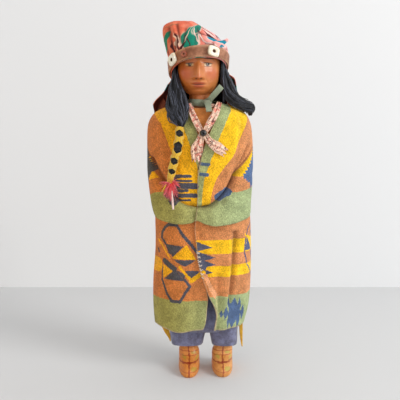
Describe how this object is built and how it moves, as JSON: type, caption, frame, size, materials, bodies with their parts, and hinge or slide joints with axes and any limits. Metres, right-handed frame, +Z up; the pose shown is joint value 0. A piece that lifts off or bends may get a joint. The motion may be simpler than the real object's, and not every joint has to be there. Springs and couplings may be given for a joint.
{
  "type": "souvenir doll",
  "caption": "Standing souvenir doll in a striped wool blanket wrapped over folded arms, with a printed headscarf, a plait and painted moccasins.",
  "frame": {"origin": "on the ground between the feet, at the middle of the doll's width and depth", "axes": "+Z up, the doll faces -Y, +X is the viewer's right"},
  "size_m": [0.096, 0.0698, 0.32],
  "materials": {
    "wool": "matte striped wool with a felted nap",
    "shirt_cloth": "matte rust cloth",
    "felt": "matte slate felt",
    "tape": "satin painted tape",
    "fringe_felt": "matte yellow felt",
    "composition": "satin painted composition",
    "hair": "soft black fibre",
    "yarn": "matte yellow yarn",
    "tuft": "matte red tuft",
    "quill": "satin white quill",
    "printed_cotton": "matte printed cotton",
    "leather": "satin brown leather",
    "bone": "satin bone white",
    "stud": "glossy amber",
    "ribbon": "sage ribbon with a faint sheen",
    "kerchief_cloth": "matte printed pink cotton",
    "bead": "glossy black"
  },
  "bodies": {
    "root": {"head": "composition", "hair": "hair", "braid": "hair", "braid_wrap": "yarn", "braid_tassel": "tuft", "tassel_quill": "quill", "headscarf": "printed_cotton", "headband": "leather", "band_bead_left": "bone", "band_bead_centre": "stud", "band_bead_right": "bone", "neck_ribbon": "ribbon", "neckerchief": "kerchief_cloth", "neckerchief_bead": "bead", "shirt": "shirt_cloth", "blanket": "wool", "trousers": "felt", "fringe_left": "fringe_felt", "fringe_right": "fringe_felt", "moccasin_left": "tape", "moccasin_right": "tape"}
  },
  "joints": []
}
